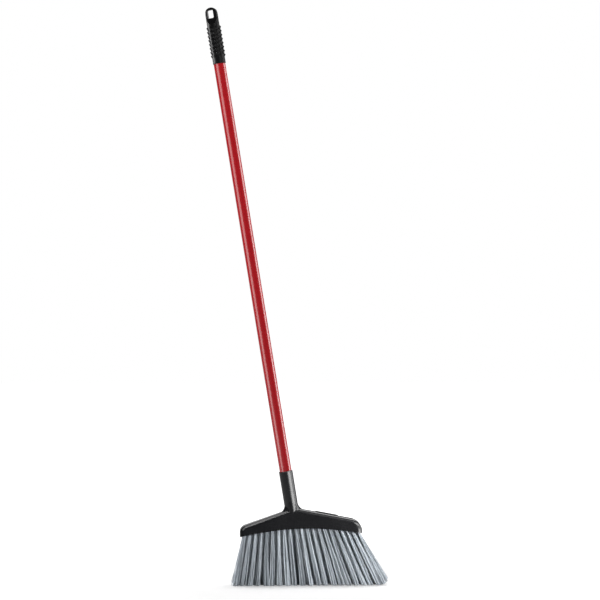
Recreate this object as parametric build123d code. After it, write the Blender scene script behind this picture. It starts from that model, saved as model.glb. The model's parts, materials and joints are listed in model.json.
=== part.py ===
from build123d import *
import os
from math import asin, atan2, cos, degrees, radians, sin, sqrt, tan

# Angle broom, in millimetres and degrees.
# The handle's axis meets the floor at the origin. +Z is up and the front looks along -Y.
# The handle leans towards -X, and the block's long shoulder runs towards +X.

# Handle
handle_tilt = 9.22
tube_diameter = 28.6
tube_wall = 0.6
tube_length = 1128.5
press_gap = 0.1          # between the tube and what is pushed into it or over it

# Threaded tip
flange_thickness = 3.0
plug_length = 36.0
plug_wall = 3.0
plug_floor = 5.0
thread_diameter = 19.0
thread_length = 31.0
thread_chamfer = 2.0

# Hanger grip
grip_wall = 0.9
grip_length = 135.9
grip_bore_depth = 84.0
grip_turn = 13.0         # of the hang hole about the handle, away from the front
hanger_width = 30.0
hanger_thickness = 16.0
hanger_taper = 12.0      # length over which the sleeve narrows to the hanger
scoop_radius = 16.0      # of the hollows that thin the hanger at front and back
scoop_drop = 9.3         # of the hollows' corner, below the hang hole
hang_hole_width = 14.6
hang_hole_height = 20.6
hang_hole_corner = 3.0
hang_hole_wall = 5.2     # above the hole
hang_hole_offset = 1.6   # to the left of the handle's axis
hang_hole_edge = 0.6

# Nubs of the grip, in columns that are staggered by half a step
nub_columns = 12
nub_rows = 8
nub_first = 19.0         # of the lowest nub, above the grip's rim
nub_step = 9.65
nub_rise = 2.4
nub_sink = 0.3           # of a nub into its flat
nub_length = 7.4
nub_breadth = 6.0
nub_taper = 28.0
nub_column_turn = 6.0    # of the first column, from the side of the hanger

# Broom block
crown_height = 136.0     # of the arched underside, at its highest
crown_offset = 10.0
arch_radius = 680.0
left_reach = 154.0
right_reach = 139.0
left_end_height = 22.9
right_end_height = 29.1
ridge_height = 47.8      # of the two shoulders' meeting line, above the crown
ridge_shift = 5.0        # of that line, to the right of the handle's axis
left_corner_round = 18.0
right_corner_round = 30.0
ridge_round = 20.0
block_depth = 47.0       # at the height of the crown
face_draft = 8.5
edge_round = 11.0
edge_round_share = 0.9   # most of the half depth at the ridge that it takes

# Socket of the block
socket_wall = 1.8
socket_length = 89.8     # from the ridge to the rim
socket_gap = 0.3         # round the tube and round the thread
tube_insertion = 58.8
thread_run_out = 4.0
left_neck_round = 18.0
right_neck_round = 24.0
neck_inset = 0.4
flare_rise = 30.0        # of the socket's run-out into the block's faces, above the ridge
flare_drop = 14.0        # of its foot, below the ridge
socket_rim_chamfer = 0.5
socket_root = 25.0       # of the socket, below the ridge

# Raised pad on the long shoulder
pad_start = 27.0
pad_length = 55.0
pad_width = 17.0
pad_rise = 1.8
pad_sink = 3.0
pad_corner = 4.0
pad_edge = 0.6

# Tufts, in rows along the block
tufts_in_row = (21, 20, 21, 20, 21)
block_rim = 3.5          # round the field of tufts
slice_depth = 10.0
slice_roof_gap = 0.2
end_margin = 6.7         # from the end of a slice to the nearest tuft
strand_sides = 3
strand_root = 3.0        # depth of a strand in its slice
strands_in_tuft = 3
strand_gap = 0.3         # between the strands of a tuft, at the root
tuft_clearance = 0.1     # between a tuft and the sides of its slice
tip_spread_along = 7.0
tip_spread_across = 4.4
fan_offset = -70.0       # where the tufts' directions would meet, seen from the front
fan_height = 510.0
depth_flare = 1.55
trim_left = -166.0       # limits of the flat stretch of the tips
trim_right = 183.0
trim_corner = 25.0

# Flat-wire anchors of the tufts
anchor_length = 7.6
anchor_thickness = 0.5
anchor_height = 2.2
anchor_cover = 0.3

# By which a cutting shape runs past what it cuts
cut_over = 1.0

# Sizes that follow
tube_radius = tube_diameter / 2
tube_bore = tube_radius - tube_wall
socket_radius = tube_radius + socket_gap + socket_wall
grip_radius = tube_radius + press_gap + grip_wall
ridge_z = crown_height + ridge_height
ridge_s = (ridge_z - ridge_shift * sin(radians(handle_tilt))) / cos(radians(handle_tilt))
ridge_x = ridge_shift * cos(radians(handle_tilt)) - ridge_s * sin(radians(handle_tilt))
socket_rim = ridge_s + socket_length
socket_seat = socket_rim - tube_insertion
tube_start = socket_seat + flange_thickness
tube_end = tube_start + tube_length
grip_start = tube_end - grip_bore_depth
arch_center = crown_height - arch_radius
row_count = len(tufts_in_row)
row_pitch = (block_depth - 2 * block_rim) / row_count
slice_left = block_rim - left_reach
slice_right = right_reach - block_rim
tuft_pitch = (slice_right - slice_left - 2 * end_margin) / (max(tufts_in_row) - 1)
tuft_radius = row_pitch / 2 - tuft_clearance
strand_radius = (tuft_radius - strand_gap) / 2
root_spread = tuft_radius - strand_radius


def along_handle(shape):
    """Turn a shape built on the Z axis onto the handle's axis."""
    return Rot(0, -handle_tilt, 0) * shape


def arch_point(x, height):
    """Point of the front view at x, on the circle that lies a height above the underside."""
    radius = arch_radius + height
    return (x, arch_center + sqrt(radius**2 - (x - crown_offset) ** 2))


def half_depth(z):
    """Half the block's depth at the height z, between its drafted front and back."""
    return block_depth / 2 - (z - crown_height) * tan(radians(face_draft))


def shoulder_corner(x, height):
    """Corner of the front outline above the end of the block at x."""
    return (x, arch_point(x, 0)[1] + height)


left_corner = shoulder_corner(-left_reach, left_end_height)
right_corner = shoulder_corner(right_reach, right_end_height)
left_slope = degrees(atan2(ridge_z - left_corner[1], ridge_x - left_corner[0]))
right_slope = degrees(atan2(ridge_z - right_corner[1], right_corner[0] - ridge_x))


def handle_tube():
    """Plain thin-walled tube."""
    ring = Circle(tube_radius) - Circle(tube_bore)
    return along_handle(extrude(Plane.XY.offset(tube_start) * ring, tube_length))


def threaded_tip():
    """Plug in the tube, a flange under the tube's end and the shank that carries the thread."""
    shank_radius = thread_diameter / 2
    plug_radius = tube_bore - press_gap
    plug_top = tube_start + plug_length
    outline = Polyline(
        (0, socket_seat - thread_length),
        (shank_radius - thread_chamfer, socket_seat - thread_length),
        (shank_radius, socket_seat - thread_length + thread_chamfer),
        (shank_radius, socket_seat),
        (tube_radius, socket_seat),
        (tube_radius, tube_start),
        (plug_radius, tube_start),
        (plug_radius, plug_top),
        (plug_radius - plug_wall, plug_top),
        (plug_radius - plug_wall, tube_start + plug_floor),
        (0, tube_start + plug_floor),
        close=True,
    )
    return along_handle(revolve(Plane.XZ * make_face(outline), Axis.Z))


def nub_sleeve():
    """Many-sided stretch of the sleeve, with a column of blunt nubs on each flat."""
    margin = nub_length / 2
    zone_length = (nub_rows - 1) * nub_step + 2 * margin
    flats = RegularPolygon(grip_radius, nub_columns, major_radius=False, rotation=180 / nub_columns)
    sleeve = extrude(flats, zone_length)
    diamond = Polyline((margin, 0), (0, nub_breadth / 2), (-margin, 0), (0, -nub_breadth / 2), close=True)
    nub = extrude(make_face(diamond), nub_rise + nub_sink, taper=nub_taper)
    nubs = []
    for column in range(nub_columns):
        staggered = column % 2
        for row in range(nub_rows - staggered):
            height = margin + (row + staggered / 2) * nub_step
            place = Rot(0, 0, column * 360 / nub_columns) * Pos(grip_radius - nub_sink, 0, height)
            nubs.append(place * Rot(0, 90, 0) * nub)
    return Pos(0, 0, nub_first - margin) * Rot(0, 0, nub_column_turn) * (sleeve + nubs)


def hanger_body():
    """Round sleeve that narrows to a full-round hanger, hollowed at front and back, with the hang hole."""
    shoulder = grip_bore_depth + grip_wall
    hanger_radius = hanger_width / 2
    outline = Polyline(
        (0, 0),
        (grip_radius, 0),
        (grip_radius, shoulder),
        (hanger_radius, shoulder + hanger_taper),
        (hanger_radius, grip_length),
        (0, grip_length),
        close=True,
    )
    body = revolve(Plane.XZ * make_face(outline), Axis.Z)
    outer = grip_radius + nub_rise
    round_start = grip_length - hanger_radius
    corners = Rectangle(2 * outer, hanger_radius, align=(Align.CENTER, Align.MIN)) - Circle(hanger_radius)
    body -= Pos(0, 0, round_start) * extrude(Plane.XZ * corners, outer, both=True)
    flat = hanger_thickness / 2
    top = grip_length + cut_over
    hole_bottom = grip_length - hang_hole_wall - hang_hole_height
    corner = hole_bottom - scoop_drop
    scoop = FilletPolyline((outer, corner + flat - outer), (flat, corner), (flat, top), radius=scoop_radius)
    outside = Polyline(scoop @ 1, (outer, top), scoop @ 0)
    hollow = extrude(Plane.YZ * make_face([scoop, outside]), hanger_width, both=True)
    body = body - hollow - Rot(0, 0, 180) * hollow
    hole = RectangleRounded(hang_hole_width, hang_hole_height, hang_hole_corner)
    hole_middle = hole_bottom + hang_hole_height / 2
    body -= Pos(-hang_hole_offset, 0, hole_middle) * extrude(Plane.XZ * hole, outer, both=True)
    flats = body.faces().filter_by(Axis.Y).filter_by(GeomType.PLANE)
    hole_wires = [wire for face in flats for wire in face.inner_wires()]
    return chamfer([edge for wire in hole_wires for edge in wire.edges()], hang_hole_edge)


def hanger_grip():
    """Moulded cap over the tube's end."""
    bore = Cylinder(tube_radius + press_gap, grip_bore_depth, align=(Align.CENTER, Align.CENTER, Align.MIN))
    grip = hanger_body() + nub_sleeve() - bore
    return along_handle(Pos(0, 0, grip_start) * Rot(0, 0, -grip_turn) * grip)


def block_body():
    """Shoulders and ends: the front outline, drafted from front to back, with its upper edges rounded."""
    foot_left = arch_point(-left_reach, 0)
    foot_right = arch_point(right_reach, 0)
    top = FilletPolyline(
        foot_left,
        left_corner,
        (ridge_x, ridge_z),
        right_corner,
        foot_right,
        radius=[left_corner_round, ridge_round, right_corner_round],
    )
    underside = ThreePointArc(foot_right, (crown_offset, crown_height), foot_left)
    prism = extrude(Plane.XZ * make_face([top, underside]), block_depth, both=True)
    low = min(foot_left[1], foot_right[1]) - cut_over
    high = ridge_z + cut_over
    section = Polyline(
        (-half_depth(low), low),
        (half_depth(low), low),
        (half_depth(high), high),
        (-half_depth(high), high),
        close=True,
    )
    body = prism & extrude(Plane.YZ * make_face(section), left_reach + right_reach, both=True)

    faces = body.faces().sort_by(Axis.Y)
    rounded = [edge for face in (faces[0], faces[-1]) for edge in face.edges().sort_by(SortBy.LENGTH)[:-1]]
    return fillet(rounded, min(edge_round, edge_round_share * half_depth(ridge_z)))


def neck_elbow(side, drop, radius):
    """Bend by which the socket's outside runs over into one shoulder, tangent to its top line."""
    center_x = side * (socket_radius + radius)
    center_s = ridge_s - side * (center_x - ridge_shift) * tan(radians(drop)) + radius / cos(radians(drop))
    ring = Plane.XY.offset(center_s) * Circle(socket_radius - neck_inset)
    return revolve(ring, Axis((center_x, 0, center_s), (0, -side, 0)), 90 - drop)


def neck_flare():
    """Run-out of the socket's front and back into the block's two faces."""
    width = socket_radius - 2 * neck_inset
    round_end = Plane.XY.offset(ridge_s + flare_rise) * Circle(width)
    flat_end = Plane.XY.offset(ridge_s - flare_drop) * Ellipse(width, half_depth(ridge_z - flare_drop))
    return loft([round_end, flat_end])


def shoulder_pad():
    """Low raised pad with rounded corners on the long shoulder."""
    middle_x = pad_start + pad_length / 2 * cos(radians(right_slope))
    middle_z = ridge_z - (middle_x - ridge_x) * tan(radians(right_slope))
    pad = extrude(RectangleRounded(pad_length, pad_width, pad_corner), pad_rise + pad_sink)
    pad = chamfer(pad.edges().group_by(Axis.Z)[-1], pad_edge)
    return Pos(middle_x, 0, middle_z) * Rot(0, right_slope, 0) * Pos(0, 0, -pad_sink) * pad


def arch_band(x_from, x_to, low, high):
    """Front-view face between two circles that lie the heights low and high above the underside."""
    lower = ThreePointArc(*[arch_point(x, low) for x in (x_from, crown_offset, x_to)])
    upper = ThreePointArc(*[arch_point(x, high) for x in (x_from, crown_offset, x_to)])
    ends = [Line(lower @ 0, upper @ 0), Line(lower @ 1, upper @ 1)]
    return Plane.XZ * make_face([lower, upper] + ends)


def broom_block():
    """Moulded head: shoulders, socket and pad in one piece, bored for the handle and recessed for the tufts."""
    socket = Pos(0, 0, ridge_s - socket_root) * Cylinder(
        socket_radius, socket_root + socket_length, align=(Align.CENTER, Align.CENTER, Align.MIN)
    )
    socket = chamfer(socket.edges().group_by(Axis.Z)[-1], socket_rim_chamfer)
    neck = socket + [
        neck_elbow(-1, left_slope - handle_tilt, left_neck_round),
        neck_elbow(1, right_slope + handle_tilt, right_neck_round),
        neck_flare(),
    ]
    block = block_body() + along_handle(neck) + shoulder_pad()
    tube_bore_cut = Pos(0, 0, socket_seat) * Cylinder(
        tube_radius + socket_gap, tube_insertion, align=(Align.CENTER, Align.CENTER, Align.MIN)
    )
    thread_depth = thread_length + thread_run_out
    thread_bore_cut = Pos(0, 0, socket_seat - thread_depth) * Cylinder(
        thread_diameter / 2 + socket_gap, thread_depth, align=(Align.CENTER, Align.CENTER, Align.MIN)
    )
    field = arch_band(slice_left, slice_right, -slice_depth, slice_depth + slice_roof_gap)
    recess = extrude(field, row_count * row_pitch / 2, both=True)
    return block - along_handle(tube_bore_cut + thread_bore_cut) - recess


def tuft_places(row):
    """The x of each tuft of a row, and the row's y."""
    count = tufts_in_row[row]
    middle = (slice_left + slice_right) / 2
    y = (row - (row_count - 1) / 2) * row_pitch
    return [(middle + (i - (count - 1) / 2) * tuft_pitch, y) for i in range(count)]


def trim_height(x):
    """Height of the strands' ends above the floor: flat, then rising at the two ends."""
    past = max(x - trim_right, trim_left - x, 0)
    return past**2 / (2 * trim_corner)


def strand(x, y, angle):
    """One straight strand of the tuft at x and y, on the side of the tuft that the angle gives."""
    along = cos(radians(angle))
    across = sin(radians(angle))
    root_x, root_z = arch_point(x, strand_root)
    fan = fan_height / (fan_height - root_z)
    root = Vector(root_x + along * root_spread, y + across * root_spread, root_z)
    tip_x = fan_offset + (x - fan_offset) * fan + along * tip_spread_along
    tip = Vector(tip_x, y * depth_flare + across * tip_spread_across, trim_height(tip_x))
    run = tip - root
    return extrude(Pos(root) * RegularPolygon(strand_radius, strand_sides), run.length, dir=run)


def anchor_place(x, y, height):
    """Location square to the underside, a height above it."""
    turn = degrees(asin((x - crown_offset) / arch_radius))
    return Pos(crown_offset, y, arch_center) * Rot(0, turn, 0) * Pos(0, 0, arch_radius + height)


def tuft_anchors(row):
    """Flat wires that hold the tufts of one row, each across the fold of its tuft."""
    wire = Box(anchor_length, anchor_thickness, anchor_height)
    height = slice_depth - anchor_cover - anchor_height / 2
    return [anchor_place(x, y, height) * wire for x, y in tuft_places(row)]


def slice_outline(places):
    """Front-view face of a slice, with one flat facet below and above for each tuft."""
    breaks = [slice_left, *[x + tuft_pitch / 2 for x, y in places[:-1]], slice_right]
    lower = [arch_point(x, 0) for x in breaks]
    upper = [arch_point(x, slice_depth) for x in breaks]
    return Plane.XZ * make_face(Polyline(*lower, *upper[::-1], close=True))


def bristle_row(row):
    """One row of tufts, fused to its slice of the block."""
    places = tuft_places(row)
    row_y = places[0][1]
    body = Pos(0, row_y, 0) * extrude(slice_outline(places), row_pitch / 2, both=True)
    slot = Box(anchor_length, anchor_thickness, anchor_height + slice_depth)
    slot_height = slice_depth - anchor_cover + (slice_depth - anchor_height) / 2
    body -= [anchor_place(x, y, slot_height) * slot for x, y in places]
    first = 90 * ((row_y > 0) - (row_y < 0))
    angles = [first + i * 360 / strands_in_tuft for i in range(strands_in_tuft)]
    return body + [strand(x, y, angle) for x, y in places for angle in angles]


os.makedirs("parts", exist_ok=True)
export_step(handle_tube(), "parts/handle_tube.step")
export_step(hanger_grip(), "parts/hanger_grip.step")
export_step(threaded_tip(), "parts/threaded_tip.step")
export_step(broom_block(), "parts/broom_block.step")
for row in range(row_count):
    export_step(bristle_row(row), f"parts/bristle_row_{row + 1}.step")
    export_step(Compound(children=tuft_anchors(row)), f"parts/tuft_anchors_{row + 1}.step")
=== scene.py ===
import json
import math

import bpy
import numpy as np
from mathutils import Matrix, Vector


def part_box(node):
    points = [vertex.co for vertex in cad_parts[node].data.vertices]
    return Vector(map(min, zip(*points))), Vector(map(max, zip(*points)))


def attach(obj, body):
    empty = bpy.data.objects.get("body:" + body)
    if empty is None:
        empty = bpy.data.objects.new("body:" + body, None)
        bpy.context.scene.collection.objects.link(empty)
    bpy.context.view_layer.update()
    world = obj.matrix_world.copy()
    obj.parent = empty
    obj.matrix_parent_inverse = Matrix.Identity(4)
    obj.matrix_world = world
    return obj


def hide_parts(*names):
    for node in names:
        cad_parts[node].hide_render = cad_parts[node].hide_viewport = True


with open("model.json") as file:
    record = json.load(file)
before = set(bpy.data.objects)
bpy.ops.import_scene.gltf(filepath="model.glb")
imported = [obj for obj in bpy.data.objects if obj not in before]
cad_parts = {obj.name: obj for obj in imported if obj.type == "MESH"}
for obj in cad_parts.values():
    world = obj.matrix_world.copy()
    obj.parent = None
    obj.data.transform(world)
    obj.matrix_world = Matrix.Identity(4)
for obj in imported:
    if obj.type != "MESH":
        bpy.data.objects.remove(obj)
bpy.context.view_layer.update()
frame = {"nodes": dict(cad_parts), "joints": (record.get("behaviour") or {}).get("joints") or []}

scene = bpy.context.scene
scene.view_settings.view_transform = "Standard"

# the handle's own directions: to the right and along it, as the front view shows them
handleAxis = np.array(frame["joints"][0]["axis"])
handleRight = np.array([handleAxis[2], 0.0, -handleAxis[0]])
tubeLow, tubeHigh = (np.array(corner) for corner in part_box("handle_tube"))


# one socket of a node tree; a sum or product written with it adds Math nodes
class Wire:
    def __init__(self, tree, socket=None):
        self.tree = tree
        self.socket = socket

    # a node of this type: its settings come first, then its sockets' values or links
    def node(self, kind, settings, sockets, output=0):
        made = self.tree.nodes.new("ShaderNode" + kind)
        for name, value in settings.items():
            setattr(made, name, value)
        for name, value in sockets.items():
            if isinstance(value, Wire):
                self.tree.links.new(value.socket, made.inputs[name])
            else:
                made.inputs[name].default_value = value
        return Wire(self.tree, made.outputs[output])

    def math(self, operation, first, second=0.0):
        return self.node("Math", {"operation": operation}, {0: first, 1: second})

    def __add__(self, other):
        return self.math("ADD", self, other)

    def __sub__(self, other):
        return self.math("SUBTRACT", self, other)

    def __rsub__(self, other):
        return self.math("SUBTRACT", other, self)

    def __mul__(self, other):
        return self.math("MULTIPLY", self, other)

    def __truediv__(self, other):
        return self.math("DIVIDE", self, other)

    def __rtruediv__(self, other):
        return self.math("DIVIDE", other, self)

    __radd__ = __add__
    __rmul__ = __mul__

    def clamp(self):
        return self.node("Clamp", {}, {"Value": self})

    def mixColour(self, low, high):
        return self.node("Mix", {"data_type": "RGBA"}, {0: self, 6: low, 7: high}, 2)


def opaque(red, green, blue):
    return (red, green, blue, 1.0)


# the emptied node tree of a material or a world
def newTree(owner):
    owner.use_nodes = True
    owner.node_tree.nodes.clear()
    return Wire(owner.node_tree)


def objectPlace(wire):
    return wire.node("TexCoord", {}, {}, "Object")


# a noise value about 0 to 1; perMetre is the pattern's count per metre along x, y and z
def noise(wire, perMetre, detail=3.0):
    scaled = wire.node("Mapping", {}, {"Vector": objectPlace(wire), "Scale": perMetre})
    return wire.node("TexNoise", {}, {"Vector": scaled, "Scale": 1.0, "Detail": detail})


def finishTree(wire, shader, owner="Material"):
    target = wire.tree.nodes.new("ShaderNodeOutput" + owner)
    wire.tree.links.new(shader.socket, target.inputs["Surface"])


def bump(wire, height, strength, distance):
    return wire.node("Bump", {}, {"Height": height, "Strength": strength, "Distance": distance})


redPaintLook = {
    "deep": opaque(0.325, 0.0048, 0.0085),
    "bright": opaque(0.370, 0.0064, 0.0112),
    "cloudPerMetre": (30.0, 30.0, 9.0),
    "roughness": 0.24,
    "coat": 0.50,
    "coatRoughness": 0.20,
    "drawPerMetre": (900.0, 900.0, 6.0),   # lines along the drawn tube
    "drawRoughness": 0.10,
    "drawHeight": 0.3,
    "peelPerMetre": 420.0,
    "peelStrength": 0.35,
    "peelDepth": 0.00004,
}


def redPaint(look):
    material = bpy.data.materials.new("redPaint")
    wire = newTree(material)
    cloud = noise(wire, look["cloudPerMetre"])
    peel = noise(wire, (look["peelPerMetre"],) * 3, detail=2.0)
    draw = noise(wire, look["drawPerMetre"])
    height = peel + look["drawHeight"] * draw
    shader = wire.node("BsdfPrincipled", {}, {
        "Base Color": cloud.mixColour(look["deep"], look["bright"]),
        "Roughness": look["roughness"] + look["drawRoughness"] * (draw - 0.5),
        "Coat Weight": look["coat"],
        "Coat Roughness": look["coatRoughness"],
        "Normal": bump(wire, height, look["peelStrength"], look["peelDepth"]),
    })
    finishTree(wire, shader)
    return material


# what the black mouldings share
mouldedLook = {"cloudPerMetre": (26.0, 26.0, 26.0), "cloudRoughness": 0.12, "grainRoughness": 0.10}


# satin plastic; where a look has levelFrom, faces whose normal rises by more than that are matt
def mouldedBlack(name, look):
    material = bpy.data.materials.new(name)
    wire = newTree(material)
    cloud = noise(wire, mouldedLook["cloudPerMetre"])
    grain = noise(wire, (look["grainPerMetre"],) * 3, detail=2.0)
    clouded = look["roughness"] + mouldedLook["cloudRoughness"] * (cloud - 0.5)
    satin = {
        "Base Color": cloud.mixColour(look["dark"], look["light"]),
        "Roughness": clouded + mouldedLook["grainRoughness"] * (grain - 0.5),
        "Specular IOR Level": look["specular"],
        "Normal": bump(wire, grain, look["grainStrength"], look["grainDepth"]),
    }
    shader = wire.node("BsdfPrincipled", {}, satin)
    if "levelFrom" in look:
        facing = wire.node("NewGeometry", {}, {}, "Normal")
        upward = wire.node("SeparateXYZ", {}, {"Vector": facing}, "Z")
        level = ((upward - look["levelFrom"]) / look["levelSoft"]).clamp()
        matt = wire.node("BsdfPrincipled", {}, {
            **satin,
            "Roughness": look["levelRoughness"],
            "Specular IOR Level": look["levelSpecular"],
        })
        shader = wire.node("MixShader", {}, {0: level, 1: shader, 2: matt})
    finishTree(wire, shader)
    return material


blockBlackLook = {
    "dark": opaque(0.0046, 0.0047, 0.0055),
    "light": opaque(0.0064, 0.0066, 0.0076),
    "roughness": 0.26,
    "specular": 0.5,
    "levelFrom": 0.955,
    "levelSoft": 0.015,
    "levelRoughness": 0.6,
    "levelSpecular": 0.04,
    "grainPerMetre": 1500.0,
    "grainStrength": 0.25,
    "grainDepth": 0.00003,
}

gripBlackLook = {
    "dark": opaque(0.0078, 0.0076, 0.0088),
    "light": opaque(0.0115, 0.0112, 0.0128),
    "roughness": 0.46,
    "specular": 0.35,
    "grainPerMetre": 1200.0,
    "grainStrength": 0.35,
    "grainDepth": 0.00004,
}

tipBlackLook = {
    "dark": opaque(0.014, 0.014, 0.015),
    "light": opaque(0.020, 0.020, 0.022),
    "roughness": 0.45,
    "specular": 0.5,
    "grainPerMetre": 900.0,
    "grainStrength": 0.25,
    "grainDepth": 0.00003,
}

bristleGreyLook = {
    "dark": opaque(0.115, 0.138, 0.160),
    "light": opaque(0.615, 0.665, 0.715),
    "roughness": 0.38,
    "streakPerMetre": (700.0, 700.0, 25.0),
    "streakTint": 0.25,
    "streakRoughness": 0.15,
}


def bristleGrey(look):
    material = bpy.data.materials.new("bristleGrey")
    wire = newTree(material)
    tint = wire.node("Attribute", {"attribute_name": "tint"}, {}, "Fac")
    streak = noise(wire, look["streakPerMetre"], detail=2.0)
    shade = (tint + look["streakTint"] * (streak - 0.5)).clamp()
    shader = wire.node("BsdfPrincipled", {}, {
        "Base Color": shade.mixColour(look["dark"], look["light"]),
        "Roughness": look["roughness"] + look["streakRoughness"] * (streak - 0.5),
    })
    finishTree(wire, shader)
    return material


anchorSteelLook = {
    "dark": opaque(0.42, 0.42, 0.43),
    "light": opaque(0.66, 0.66, 0.66),
    "roughness": 0.32,
    "drawnPerMetre": (60.0, 4000.0, 4000.0),   # lines along the flat wire
    "drawnRoughness": 0.2,
}


def anchorSteel(look):
    material = bpy.data.materials.new("anchorSteel")
    wire = newTree(material)
    drawn = noise(wire, look["drawnPerMetre"])
    shader = wire.node("BsdfPrincipled", {}, {
        "Base Color": drawn.mixColour(look["dark"], look["light"]),
        "Metallic": 1.0,
        "Roughness": look["roughness"] + look["drawnRoughness"] * (drawn - 0.5),
    })
    finishTree(wire, shader)
    return material


# quads between the neighbouring points of a grid, closed round in a direction where asked
def gridFaces(rows, columns, closedRows=False, closedColumns=False):
    row, column = np.meshgrid(
        np.arange(rows if closedRows else rows - 1),
        np.arange(columns if closedColumns else columns - 1),
        indexing="ij",
    )
    nextRow = (row + 1) % rows
    nextColumn = (column + 1) % columns
    corners = [
        row * columns + column,
        row * columns + nextColumn,
        nextRow * columns + nextColumn,
        nextRow * columns + column,
    ]
    return np.stack(corners, -1).reshape(-1, 4)


# six times the volume that quads enclose is the sum of their corners' triple products
def turnedOut(points, faces):
    a, b, c, d = (points[faces[:, corner]] for corner in range(4))
    volume = (np.cross(a, b) * c).sum() + (np.cross(a, c) * d).sum()
    return faces if volume > 0 else faces[:, ::-1]


def makePiece(name, points, faces, material, body, caps=()):
    mesh = bpy.data.meshes.new(name)
    mesh.from_pydata(points.tolist(), [], faces.tolist() + [list(cap) for cap in caps])
    mesh.polygons.foreach_set("use_smooth", np.ones(len(mesh.polygons), bool))
    mesh.materials.append(material)
    piece = bpy.data.objects.new(name, mesh)
    scene.collection.objects.link(piece)
    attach(piece, body)
    return piece


# shades the edges that are sharper than an angle as edges, and the rest smooth
def sharpen(piece, degrees):
    piece.data.set_sharp_from_angle(angle=math.radians(degrees))


# columns of local: to the right, to the back and along the handle
def ontoHandle(local):
    return local @ np.array([handleRight, [0.0, 1.0, 0.0], handleAxis])


# a turn about the handle's axis
def turnedAbout(local, angle):
    x, y = local[..., 0], local[..., 1]
    cos, sin = math.cos(angle), math.sin(angle)
    return np.stack([x * cos - y * sin, x * sin + y * cos, local[..., 2]], -1)


# rings about the handle's axis, one for each height; the radius may also change along a ring
def ringsAt(height, radius, sides):
    turn = np.arange(sides) * 2 * np.pi / sides
    return np.stack([radius * np.cos(turn), radius * np.sin(turn), height[:, None] + 0 * turn], -1)


# each (radius, height) of a profile is carried round the handle's axis in equal steps
def revolved(profile, sides):
    return ringsAt(profile[:, 1], profile[:, :1], sides)


# the first ring and the last one of a skin, as faces that close its ends
def endCaps(rings, sides):
    return np.arange(sides)[::-1], np.arange(sides) + (rings - 1) * sides


# place along the handle of the end of a round node, from its box and that end's radius
def placeAlong(z, radius, side):
    return (z - side * radius * abs(handleAxis[0])) / handleAxis[2]


handleTube = {
    "radius": 0.0143,
    "wall": 0.0006,
    "edge": 0.00015,
    "sides": 128,
    "rings": 24,
    "sharpAngle": 40.0,
}
tubeStart = placeAlong(tubeLow[2], handleTube["radius"], -1)
tubeEnd = placeAlong(tubeHigh[2], handleTube["radius"], 1)


# the wall's section is a closed loop: up the outside, over the end, down the bore and back
def makeHandleTube(sizes, material):
    outer = sizes["radius"]
    bore = outer - sizes["wall"]
    edge = sizes["edge"]
    rises = np.linspace(tubeStart + edge, tubeEnd - edge, sizes["rings"])
    outside = np.stack([np.full_like(rises, outer), rises], 1)
    inside = np.stack([np.full_like(rises, bore), rises[::-1]], 1)
    over = np.array([[outer - edge, tubeEnd], [bore + edge, tubeEnd]])
    under = np.array([[bore + edge, tubeStart], [outer - edge, tubeStart]])
    profile = np.concatenate([outside, over, inside, under])
    points = ontoHandle(revolved(profile, sizes["sides"])).reshape(-1, 3)
    faces = turnedOut(points, gridFaces(len(profile), sizes["sides"], True, True))
    tube = makePiece("handleTube", points, faces, material, "tube")
    sharpen(tube, sizes["sharpAngle"])
    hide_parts("handle_tube")
    return tube


threadedTip = {
    "flange": 0.003,
    "plugLength": 0.036,
    "plugRadius": 0.0136,
    "flangeRadius": 0.0143,
    "threadLength": 0.031,
    "threadRadius": 0.0095,
    "threadDepth": 0.0013,
    "grooveSlope": 1.6,
    "grooveLift": 0.2,
    "pitch": 0.00508,
    "chamfer": 0.002,
    "edge": 0.0003,
    "sides": 72,
    "samplesAlong": 160,
    "sharpAngle": 35.0,
}


# thread: the radius falls by a groove, which is a cosine cut off flat at the root and at the crest; its phase
# grows by one for each pitch along the shank and falls by one for each turn, so the thread is right-handed
def makeThreadedTip(sizes, material):
    seat = tubeStart - sizes["flange"]
    low = seat - sizes["threadLength"]
    sides, edge = sizes["sides"], sizes["edge"]
    shank = np.linspace(low, seat, sizes["samplesAlong"])
    phase = np.mod(shank[:, None] / sizes["pitch"] - np.arange(sides) / sides, 1.0)
    groove = np.clip(sizes["grooveSlope"] * np.cos(2 * np.pi * phase) + sizes["grooveLift"], 0.0, 1.0)
    runOut = np.clip((seat - shank) / sizes["pitch"], 0.0, 1.0)[:, None]
    point = np.clip((shank - low) / sizes["chamfer"], 0.0, 1.0)[:, None]
    radius = sizes["threadRadius"] - sizes["threadDepth"] * groove * runOut - sizes["chamfer"] * (1 - point)
    top = tubeStart + sizes["plugLength"]
    upper = np.array([
        [sizes["flangeRadius"] - edge, seat],
        [sizes["flangeRadius"], seat + edge],
        [sizes["flangeRadius"], tubeStart],
        [sizes["plugRadius"], tubeStart],
        [sizes["plugRadius"], top - edge],
        [sizes["plugRadius"] - edge, top],
    ])
    local = np.concatenate([ringsAt(shank, radius, sides), revolved(upper, sides)])
    points = ontoHandle(local).reshape(-1, 3)
    faces = gridFaces(len(local), sides, False, True)
    caps = endCaps(len(local), sides)
    tip = makePiece("threadedTip", points, faces, material, "handle_ends", caps)
    sharpen(tip, sizes["sharpAngle"])
    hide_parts("threaded_tip")
    return tip


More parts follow.
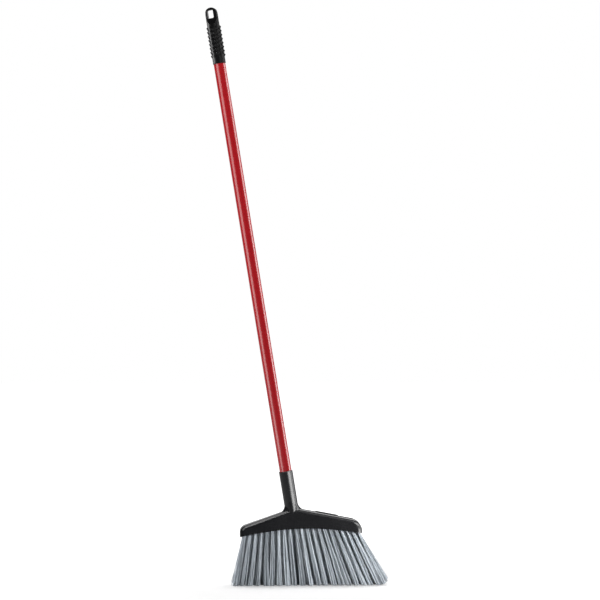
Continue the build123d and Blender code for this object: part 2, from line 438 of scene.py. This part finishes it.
gripSleeve = {
    "bore": 0.0144,
    "boreDepth": 0.084,
    "radius": 0.0153,
    "rimRound": 0.0005,
    "length": 0.0915,
    "turn": math.radians(-13.0),
    "columns": 12,
    "columnTurn": math.radians(6.0),
    "rows": 8,
    "firstNub": 0.019,
    "nubStep": 0.00965,
    "nubRise": 0.0024,
    "nubLength": 0.0080,
    "nubBreadth": 0.0070,
    "nubPeak": 0.30,   # share of the nub's length that lies above its top
    "nubBlunt": 0.22,   # share of the nub that its flat top takes up
    "samplesRound": 26,
    "samplesAlong": 230,
}


# rises from 0 to 1 and runs level at both ends
def smoothStep(value):
    value = np.clip(value, 0.0, 1.0)
    return value * value * (3 - 2 * value)


# nub: a wedge whose top lies near its upper end; it falls to nothing where its two offsets from the top,
# as shares of its reach to that side, add up to 1
def nubHeight(turn, height, sizes):
    pitch = 2 * np.pi / sizes["columns"]
    column = np.round((turn - sizes["columnTurn"]) / pitch)
    across = (turn - sizes["columnTurn"] - column * pitch) * sizes["radius"]
    stagger = np.mod(column, 2) / 2
    row = np.round((height - sizes["firstNub"]) / sizes["nubStep"] - stagger)
    row = np.clip(row, 0, sizes["rows"] - 1 - 2 * stagger)
    along = height - sizes["firstNub"] - (row + stagger) * sizes["nubStep"]
    along = along - (0.5 - sizes["nubPeak"]) * sizes["nubLength"]
    above = along / (sizes["nubPeak"] * sizes["nubLength"])
    below = -along / ((1 - sizes["nubPeak"]) * sizes["nubLength"])
    reach = np.maximum(above, below) + np.abs(across) / (sizes["nubBreadth"] / 2)
    return sizes["nubRise"] * np.clip((1 - reach) / (1 - sizes["nubBlunt"]), 0.0, 1.0)


# the sleeve's skin runs from the bore's end down to the rim and up the wall, whose radius grows by the nubs
def makeGripSleeve(sizes, material):
    sides = sizes["columns"] * sizes["samplesRound"]
    turn = np.arange(sides) * 2 * np.pi / sides
    rim = sizes["rimRound"]
    rise = np.linspace(rim, sizes["length"] - rim, sizes["samplesAlong"])
    radius = sizes["radius"] + nubHeight(turn[None, :], rise[:, None], sizes)
    wall = ringsAt(rise, radius, sides)
    below = np.array([
        [sizes["bore"], sizes["boreDepth"]],
        [sizes["bore"], rim],
        [sizes["bore"] + rim / 2, 0.0],
        [sizes["radius"] - rim, 0.0],
    ])
    above = np.array([[sizes["radius"] - rim, sizes["length"]]])
    local = np.concatenate([revolved(below, sides), wall, revolved(above, sides)])
    local[..., 2] += tubeEnd - sizes["boreDepth"]
    points = ontoHandle(turnedAbout(local, sizes["turn"])).reshape(-1, 3)
    faces = gridFaces(len(local), sides, False, True)
    caps = endCaps(len(local), sides)
    return makePiece("gripSleeve", points, faces, material, "handle_ends", caps)


gripHanger = {
    "foot": 0.086,
    "top": 0.1359,
    "radius": 0.0150,
    "thickness": 0.0160,
    "holeWidth": 0.0146,
    "holeHeight": 0.0206,
    "holeCorner": 0.0030,
    "holeWall": 0.0052,
    "holeOffset": -0.0016,
    "holeRound": 0.0010,
    "lipWidth": 0.0030,
    "lipRise": 0.0007,
    "lipSoft": 0.0006,
    "edgeRound": 0.0030,
    "scoopStart": 0.1008,
    "scoopSoft": 0.009,
    "around": 240,
    "across": 40,
    "wall": 12,
    "halvings": 40,
    "sharpAngle": 45.0,
}
leastSlope = 1e-6   # keeps a reach finite where its direction runs level or upright


# distance from the hole's middle to a rounded rectangle, along each direction, by halving
def reachOfHole(side, rise, sizes):
    halfWidth = sizes["holeWidth"] / 2 - sizes["holeCorner"]
    halfHeight = sizes["holeHeight"] / 2 - sizes["holeCorner"]
    low = np.zeros_like(side)
    high = np.full_like(side, sizes["holeHeight"])
    for _ in range(sizes["halvings"]):
        middle = (low + high) / 2
        beyondSide = np.maximum(np.abs(side) * middle - halfWidth, 0)
        beyondRise = np.maximum(np.abs(rise) * middle - halfHeight, 0)
        inside = np.hypot(beyondSide, beyondRise) < sizes["holeCorner"]
        low = np.where(inside, middle, low)
        high = np.where(inside, high, middle)
    return low


# reach from the hole's middle to where a direction leaves the circle of the hanger's round top, or below that
# circle's middle to the nearer of the side and the foot; also which of the two it is
def reachOfOutline(side, rise, holeMiddle, sizes):
    radius, offset = sizes["radius"], sizes["holeOffset"]
    drop = holeMiddle - (sizes["top"] - radius)
    along = offset * side + drop * rise
    toRound = np.sqrt(along**2 + radius**2 - offset**2 - drop**2) - along
    toSide = (radius - offset * np.sign(side)) / np.maximum(np.abs(side), leastSlope)
    toFoot = (holeMiddle - sizes["foot"]) / np.maximum(-rise, leastSlope)
    isRound = drop + toRound * rise >= 0
    return np.where(isRound, toRound, np.minimum(toSide, toFoot)), isRound


# how far a rounded edge falls below its face: a quarter circle, from the edge to one radius away from it
def roundedFall(away, radius):
    share = np.clip(away / radius, 0, 1)
    return radius * (1 - np.sqrt(1 - (1 - share) ** 2))


# the hanger is a closed loop of sections round the hole: each runs from the hole's wall out over the front,
# round the outline and back over the rear; the half thickness is the lesser of the round body and the scooped
# flat, with a low lip at the hole, less the rounding towards the hole and the round top
def makeGripHanger(sizes, material):
    holeMiddle = sizes["top"] - sizes["holeWall"] - sizes["holeHeight"] / 2
    angle = (np.arange(sizes["around"]) + 0.5) * 2 * np.pi / sizes["around"]
    side, rise = np.sin(angle)[:, None], np.cos(angle)[:, None]
    inner = reachOfHole(side, rise, sizes)
    outer, isRound = reachOfOutline(side, rise, holeMiddle, sizes)
    share = (1 - np.cos(np.linspace(0, np.pi, sizes["across"]))) / 2
    reach = inner + (outer - inner) * share
    x = sizes["holeOffset"] + side * reach
    z = holeMiddle + rise * reach
    body = np.sqrt(np.maximum(sizes["radius"] ** 2 - x**2, 0))
    scooped = smoothStep((z - sizes["scoopStart"] + sizes["scoopSoft"]) / (2 * sizes["scoopSoft"]))
    flat = sizes["radius"] + (sizes["thickness"] / 2 - sizes["radius"]) * scooped
    fromHole = reach - inner
    lip = sizes["lipRise"] * (1 - smoothStep((fromHole - sizes["lipWidth"]) / sizes["lipSoft"]))
    toEdge = np.where(isRound, outer - reach, sizes["edgeRound"])
    half = np.minimum(body, flat) + lip - roundedFall(fromHole, sizes["holeRound"])
    half = np.maximum(half - roundedFall(toEdge, sizes["edgeRound"]), 0)
    front = np.stack([x, -half, z], -1)
    back = np.stack([x, half, z], -1)[:, ::-1]
    wallShare = np.linspace(0, 1, sizes["wall"])[1:-1, None]
    edgeWall = front[:, -1:, :] + (back[:, :1, :] - front[:, -1:, :]) * wallShare
    holeWall = back[:, -1:, :] + (front[:, :1, :] - back[:, -1:, :]) * wallShare
    local = np.concatenate([front, edgeWall, back, holeWall], 1)
    local[..., 2] += tubeEnd - gripSleeve["boreDepth"]
    points = ontoHandle(turnedAbout(local, gripSleeve["turn"])).reshape(-1, 3)
    faces = turnedOut(points, gridFaces(local.shape[0], local.shape[1], True, True))
    hanger = makePiece("gripHanger", points, faces, material, "handle_ends")
    sharpen(hanger, sizes["sharpAngle"])
    return hanger


broomHead = {
    "crownHeight": 0.136,
    "crownOffset": 0.010,
    "archRadius": 0.680,
    "fieldLeft": -0.1505,
    "fieldRight": 0.1355,
    "fieldDepth": 0.040,
    "plateDepth": 0.010,
    "tufts": (21, 20, 21, 20, 21),
    "endMargin": 0.0067,
}


# height of the arched underside at x, or of the arch that lies further out by above
def archHeight(x, above=0.0):
    radius = broomHead["archRadius"] + above
    middle = broomHead["crownHeight"] - broomHead["archRadius"]
    return middle + np.sqrt(radius**2 - (x - broomHead["crownOffset"]) ** 2)


rowCount = len(broomHead["tufts"])
middleRow = (rowCount - 1) / 2
rowPitch = broomHead["fieldDepth"] / rowCount
tuftPitch = broomHead["fieldRight"] - broomHead["fieldLeft"] - 2 * broomHead["endMargin"]
tuftPitch /= max(broomHead["tufts"]) - 1
fieldMiddle = (broomHead["fieldLeft"] + broomHead["fieldRight"]) / 2


# x of each tuft of a row, and the row's y
def tuftPlaces(row):
    count = broomHead["tufts"][row]
    x = fieldMiddle + (np.arange(count) - (count - 1) / 2) * tuftPitch
    return x, (row - middleRow) * rowPitch


tuftPlate = {
    "holeRadius": 0.0033,
    "holeDepth": 0.0022,
    "holeSoft": 0.0007,
    "samplesAlong": 480,
    "samplesAcross": 70,
    "sharpAngle": 40.0,
}


# the plate's section is carried along the arch; its lower face sinks round the middle of each tuft
def makeTuftPlate(sizes, material):
    x = np.linspace(broomHead["fieldLeft"], broomHead["fieldRight"], sizes["samplesAlong"])[:, None]
    y = np.linspace(-0.5, 0.5, sizes["samplesAcross"])[None, :] * broomHead["fieldDepth"]
    row = np.clip(np.round(y / rowPitch + middleRow), 0, rowCount - 1)
    count = np.array(broomHead["tufts"])[row.astype(int)]
    place = (x - fieldMiddle) / tuftPitch + (count - 1) / 2
    place = np.clip(np.round(place), 0, count - 1)
    tuftX = fieldMiddle + (place - (count - 1) / 2) * tuftPitch
    tuftY = (row - middleRow) * rowPitch
    away = np.hypot(x - tuftX, y - tuftY)
    sink = sizes["holeDepth"] * smoothStep((sizes["holeRadius"] - away) / sizes["holeSoft"])
    under = np.stack([x + 0 * y, 0 * x + y, archHeight(x) + sink], -1)
    roof = np.stack([x + 0 * y, 0 * x + y, archHeight(x, broomHead["plateDepth"]) + 0 * y], -1)
    loop = np.concatenate([under, roof[:, ::-1]], 1)
    points = loop.reshape(-1, 3)
    sections, columns = loop.shape[:2]
    faces = turnedOut(points, gridFaces(sections, columns, False, True))
    caps = [cap[::-1] for cap in endCaps(sections, columns)]
    plate = makePiece("tuftPlate", points, faces, material, "head", caps)
    sharpen(plate, sizes["sharpAngle"])
    return plate


bristles = {
    "bundles": 11,
    "perBundle": 9,
    "radius": 0.00036,
    "rootRadius": 0.0031,
    "rootDepth": 0.0015,
    "rootShare": 0.8,
    "rootSpread": 0.20,
    "tipAlong": 0.0068,
    "tipAcross": 0.0048,
    "bundleSpread": 0.10,
    "bundleDrift": 0.13,
    "mostAlong": 0.0084,
    "mostAcross": 1.1,   # times tipAcross
    "lean": 0.0010,
    "bundleBend": 0.0009,
    "bend": 0.0004,
    "bendShares": (1.0, 0.7, 0.0),
    "tipRagged": 0.0007,
    "fanOffset": -0.070,
    "fanHeight": 0.510,
    "depthFlare": 1.55,
    "trimLeft": -0.166,
    "trimRight": 0.180,
    "trimCorner": 0.018,
    "middleTint": 0.55,
    "bundleTint": 0.30,
    "tint": 0.14,
    "sides": 4,
    "rings": 7,
    "endShare": 0.015,   # of the length, from each end to the next ring
    "leftIn": 0.0012,   # moves the foot of a row's first tuft inwards
    "stray": 0.010,   # carries that tuft's outermost filaments outwards
    "strayFrom": 0.8,
    "seed": 11,
}
goldenAngle = math.pi * (3 - math.sqrt(5))


# spots of the filaments in a tuft's hole and in its foot, as shares of their radius: a tuft is a few bundles,
# spaced as the seeds of a sunflower and jittered, and a bundle is a few filaments
def filamentSpots(tufts, sizes, random):
    bundles, each = sizes["bundles"], sizes["perBundle"]
    reach = np.sqrt((np.arange(bundles) + 0.5) / bundles)
    turn = np.arange(bundles) * goldenAngle + random.uniform(0, 2 * np.pi, (tufts, 1))
    middle = np.stack([reach * np.cos(turn), reach * np.sin(turn)], -1)[:, :, None]
    rootSpot = random.normal(0, sizes["rootSpread"], (tufts, bundles, each, 2))
    rootSpot = sizes["rootShare"] * middle + rootSpot
    rootSpot /= np.maximum(np.linalg.norm(rootSpot, axis=-1, keepdims=True), 1.0)
    tipSpot = middle + random.normal(0, sizes["bundleDrift"], (tufts, bundles, 1, 2))
    tipSpot = tipSpot + random.normal(0, sizes["bundleSpread"], (tufts, bundles, each, 2))
    return rootSpot, tipSpot


# both ends of a row's filaments: the tufts fan out from a point above the block, their feet are wider than
# their holes, and the level trim rises by the square of the way past its two corners; at the first tuft
# the outermost filaments stray outwards
def filamentEnds(row, sizes, random):
    tuftX, tuftY = tuftPlaces(row)
    rootSpot, tipSpot = filamentSpots(len(tuftX), sizes, random)
    fan = sizes["fanHeight"] / (sizes["fanHeight"] - archHeight(tuftX))
    footX = sizes["fanOffset"] + (tuftX - sizes["fanOffset"]) * fan
    footX = footX + random.normal(0, sizes["lean"], len(tuftX))
    aside = np.clip(sizes["tipAlong"] * tipSpot[..., 0], -sizes["mostAlong"], sizes["mostAlong"])
    leftMost = (np.arange(len(tuftX)) == 0)[:, None, None]
    outward = sizes["stray"] * np.maximum(-tipSpot[..., 0] - sizes["strayFrom"], 0)
    tipX = footX[:, None, None] + aside + leftMost * (sizes["leftIn"] - outward)
    across = np.clip(tipSpot[..., 1], -sizes["mostAcross"], sizes["mostAcross"])
    tipY = tuftY * sizes["depthFlare"] + sizes["tipAcross"] * across
    past = np.maximum(np.maximum(tipX - sizes["trimRight"], sizes["trimLeft"] - tipX), 0)
    tipZ = past**2 / (2 * sizes["trimCorner"])
    tipZ = tipZ + sizes["tipRagged"] * random.uniform(0, 1, tipX.shape) ** 2
    rootX = tuftX[:, None, None] + sizes["rootRadius"] * rootSpot[..., 0]
    rootY = tuftY + sizes["rootRadius"] * rootSpot[..., 1]
    rootZ = archHeight(tuftX)[:, None, None] + sizes["rootDepth"] + 0 * rootX
    return np.stack([rootX, rootY, rootZ], -1), np.stack([tipX, tipY, tipZ], -1)


# a filament runs from its root to its tip with a slight bow, half a sine wave along its length, and its skin
# is a four-sided ring carried along that line
def makeBristleRow(row, sizes, material, random):
    root, tip = filamentEnds(row, sizes, random)
    tufts, bundles, each = root.shape[:3]
    root, tip = root.reshape(-1, 1, 3), tip.reshape(-1, 1, 3)
    bow = random.normal(0, sizes["bundleBend"], (tufts, bundles, 1, 3))
    bow = (bow + random.normal(0, sizes["bend"], (tufts, bundles, each, 3))).reshape(-1, 1, 3)
    bow = bow * np.array(sizes["bendShares"])
    along = np.linspace(sizes["endShare"], 1 - sizes["endShare"], sizes["rings"] - 2)
    along = np.concatenate([[0.0], along, [1.0]])[None, :, None]
    line = root + (tip - root) * along + bow * np.sin(np.pi * along)
    corner = np.arange(sizes["sides"]) * 2 * np.pi / sizes["sides"]
    twist = random.uniform(0, 2 * np.pi, (len(root), 1, 1))
    ring = np.stack([np.cos(corner + twist), np.sin(corner + twist), 0 * corner + 0 * twist], -1)
    points = line[:, :, None, :] + sizes["radius"] * ring
    points[..., 2] = np.maximum(points[..., 2], 0.0)
    skin = sizes["rings"] * sizes["sides"]
    pattern = gridFaces(sizes["rings"], sizes["sides"], False, True)
    pattern = np.concatenate([pattern, endCaps(sizes["rings"], sizes["sides"])])[:, ::-1]
    faces = (pattern[None] + np.arange(len(root))[:, None, None] * skin).reshape(-1, 4)
    name = f"bristleRow{row + 1}"
    piece = makePiece(name, points.reshape(-1, 3), faces, material, "head")
    tint = sizes["middleTint"] + random.normal(0.0, sizes["bundleTint"], (tufts, bundles, 1))
    tint = np.clip(tint + random.normal(0.0, sizes["tint"], (tufts, bundles, each)), 0, 1)
    tint = np.repeat(tint.reshape(-1).astype(np.float32), skin)
    piece.data.attributes.new("tint", "FLOAT", "POINT").data.foreach_set("value", tint)
    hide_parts(f"bristle_row_{row + 1}")
    return piece


# a CAD node that stays in view takes this material alone
def dress(node, material):
    node.data.materials.clear()
    node.data.materials.append(material)
    return node


print("materials")
paint = redPaint(redPaintLook)
blockBlack = mouldedBlack("blockBlack", blockBlackLook)
gripBlack = mouldedBlack("gripBlack", gripBlackLook)
tipBlack = mouldedBlack("tipBlack", tipBlackLook)
bristleMaterial = bristleGrey(bristleGreyLook)
steel = anchorSteel(anchorSteelLook)

print("handle")
tube = makeHandleTube(handleTube, paint)
tip = makeThreadedTip(threadedTip, tipBlack)
sleeve = makeGripSleeve(gripSleeve, gripBlack)
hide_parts("hanger_grip")
hanger = makeGripHanger(gripHanger, gripBlack)

print("head")
block = dress(frame["nodes"]["broom_block"], blockBlack)
moulding = [block, makeTuftPlate(tuftPlate, blockBlack)]
tufts = []
for row in range(rowCount):
    random = np.random.default_rng(bristles["seed"] + row)
    tufts.append(makeBristleRow(row, bristles, bristleMaterial, random))
    moulding.append(dress(frame["nodes"][f"tuft_anchors_{row + 1}"], steel))

studio = {
    "cameraDistance": 5.0,
    "cameraTurn": math.radians(3.0),
    "cameraHeight": 0.682,
    "lens": 125.0,
    "shiftX": -4.0 / 600,
    "floorHalf": 12.0,
    "floorHeight": -0.0003,
    "floorColour": opaque(0.80, 0.80, 0.80),
    "floorGlow": 0.37,
    "floorReach": 1.0,
    "fadeStart": 0.3,
    "fadeWidth": 1.2,
    "roomLevel": 0.05,
    "backdropStart": 0.86,   # of the way that a direction points back
    "backdropSoft": 0.10,
    "ambientFront": 0.10,
    "ambientBack": 0.30,
    "ambientStart": -0.2,
    "ambientSoft": 0.8,
}
white = opaque(1.0, 1.0, 1.0)

half, level = studio["floorHalf"], studio["floorHeight"]
corners = [(-half, -half, level), (half, -half, level), (half, half, level), (-half, half, level)]
floorMesh = bpy.data.meshes.new("floor")
floorMesh.from_pydata(corners, [], [[0, 1, 2, 3]])
floor = bpy.data.objects.new("floor", floorMesh)
scene.collection.objects.link(floor)

handle = [tube, tip]
grip = [sleeve, hanger]

# place of the middle, point that it faces, width, height, brightness and the pieces that it lights
softboxes = {
    "handleLeft": ((-0.86, -0.44, 0.85), (-0.10, 0.0, 0.85), 0.60, 1.75, 3.4, handle),
    "handleRight": ((1.15, 0.06, 0.90), (-0.10, 0.0, 0.90), 0.70, 1.80, 6.2, [tube]),
    "handleTop": ((0.70, -1.60, 3.60), (-0.10, 0.0, 0.80), 1.00, 1.00, 18.0, [tube]),
    "gripLeft": ((-1.17, 0.26, 1.35), (-0.22, 0.0, 1.30), 0.55, 0.60, 9.0, grip),
    "gripRight": ((0.85, 0.05, 1.40), (-0.22, 0.0, 1.30), 0.50, 0.60, 3.5, grip),
    "gripFront": ((0.30, -1.00, 1.75), (-0.22, 0.0, 1.30), 0.60, 0.50, 2.6, grip),
    "blockRight": ((0.90, -0.68, 0.21), (0.0, 0.0, 0.22), 0.90, 0.38, 14.0, moulding),
    "blockEnd": ((0.80, -0.55, 0.85), (0.05, 0.0, 0.20), 0.80, 0.30, 12.0, moulding),
    "blockSide": ((1.20, 0.15, 0.50), (0.0, 0.0, 0.22), 0.70, 0.90, 4.0, moulding),
    "blockLeft": ((-0.645, -0.64, 1.54), (-0.06, 0.0, 0.17), 0.44, 0.25, 16.5, moulding),
    "blockBend": ((-1.04, -0.52, 0.98), (-0.04, 0.0, 0.19), 0.35, 0.30, 14.0, moulding),
    "blockTop": ((0.46, -0.44, 1.25), (0.06, 0.0, 0.17), 0.60, 0.35, 2.0, moulding),
    "blockBack": ((0.45, 0.95, 1.45), (0.08, 0.0, 0.17), 1.00, 0.90, 4.0, moulding),
    "blockFront": ((0.64, -1.20, 0.30), (0.10, 0.0, 0.14), 0.45, 0.60, 1.6, moulding),
    "bristleFront": ((0.58, -0.70, 0.40), (0.05, 0.0, 0.06), 0.45, 0.45, 21.5, tufts),
    "bristleBack": ((-0.55, 0.80, 0.55), (0.0, 0.0, 0.06), 0.50, 0.45, 11.0, tufts),
    "above": ((-0.45, 0.25, 2.30), (-0.05, 0.0, 0.20), 1.40, 1.10, 4.0, handle + moulding),
    "overFloor": ((0.0, 0.45, 2.20), (0.0, 0.0, 0.0), 1.60, 0.90, 8.7, [floor]),
    "behind": ((0.40, 1.70, 1.90), (0.0, 0.0, 0.50), 2.00, 1.00, 1.2, handle + grip + moulding + tufts),
}


# an area light's brightness is its power over pi and its area
def addSoftbox(name, place, target, width, height, brightness, lit):
    light = bpy.data.lights.new(name, "AREA")
    light.shape = "RECTANGLE"
    light.size = width
    light.size_y = height
    light.energy = brightness * math.pi * width * height
    box = bpy.data.objects.new(name, light)
    box.location = place
    box.rotation_euler = (Vector(target) - Vector(place)).to_track_quat("-Z", "Y").to_euler()
    box.visible_camera = False
    scene.collection.objects.link(box)
    group = bpy.data.collections.new(name)
    for piece in lit:
        group.objects.link(piece)
    box.light_linking.receiver_collection = group


# 1 on camera rays, and 1 on rays that come by way of a mirror or through glass
def seenDirectly(wire):
    cameraRay = wire.node("LightPath", {}, {}, "Is Camera Ray")
    glossy = wire.node("LightPath", {}, {}, "Is Glossy Ray")
    through = wire.node("LightPath", {}, {}, "Is Transmission Ray")
    return cameraRay, (glossy + through).clamp()


print("studio")
toCamera = -studio["cameraTurn"]
cameraData = bpy.data.cameras.new("camera")
cameraData.lens = studio["lens"]
cameraData.shift_x = studio["shiftX"]
camera = bpy.data.objects.new("camera", cameraData)
camera.location = (
    math.sin(toCamera) * studio["cameraDistance"],
    -math.cos(toCamera) * studio["cameraDistance"],
    studio["cameraHeight"],
)
camera.rotation_euler = (math.pi / 2, 0.0, toCamera)
scene.collection.objects.link(camera)
scene.camera = camera

for name, box in softboxes.items():
    addSoftbox(name, *box)

# camera and mirror rays see a white backdrop behind the broom; the rest of the room is dim in reflections
world = bpy.data.worlds.new("room")
scene.world = world
room = newTree(world)
cameraRay, mirrorRay = seenDirectly(room)
direction = room.node("TexCoord", {}, {}, "Generated")
backward = room.node("SeparateXYZ", {}, {"Vector": direction}, "Y")
backdrop = ((backward - studio["backdropStart"]) / studio["backdropSoft"]).clamp()
mirrored = studio["roomLevel"] + (1.0 - studio["roomLevel"]) * backdrop
behind = ((backward - studio["ambientStart"]) / studio["ambientSoft"]).clamp()
ambient = studio["ambientFront"] + (studio["ambientBack"] - studio["ambientFront"]) * behind
strength = cameraRay + mirrorRay * mirrored + (1.0 - cameraRay - mirrorRay) * ambient
finishTree(room, room.node("Background", {}, {"Color": white, "Strength": strength}), "World")

# the floor glows for the camera, more so further away, until it meets the backdrop; mirror rays see the lit
# table end at floorReach
floorMaterial = bpy.data.materials.new("paleFloor")
ground = newTree(floorMaterial)
cameraRay, mirrorRay = seenDirectly(ground)
away = ground.node("VectorMath", {"operation": "LENGTH"}, {0: objectPlace(ground)}, "Value")
far = ((away - studio["fadeStart"]) / studio["fadeWidth"]).clamp()
near = (studio["floorReach"] - away).clamp()
direct = studio["floorGlow"] + far * (1.0 - studio["floorGlow"])
glow = cameraRay * direct + mirrorRay * near * studio["floorGlow"]
matt = ground.node("BsdfDiffuse", {}, {"Color": studio["floorColour"]})
lit = ground.node("Emission", {}, {"Color": white, "Strength": glow})
finishTree(ground, ground.node("AddShader", {}, {0: matt, 1: lit}))
floorMesh.materials.append(floorMaterial)
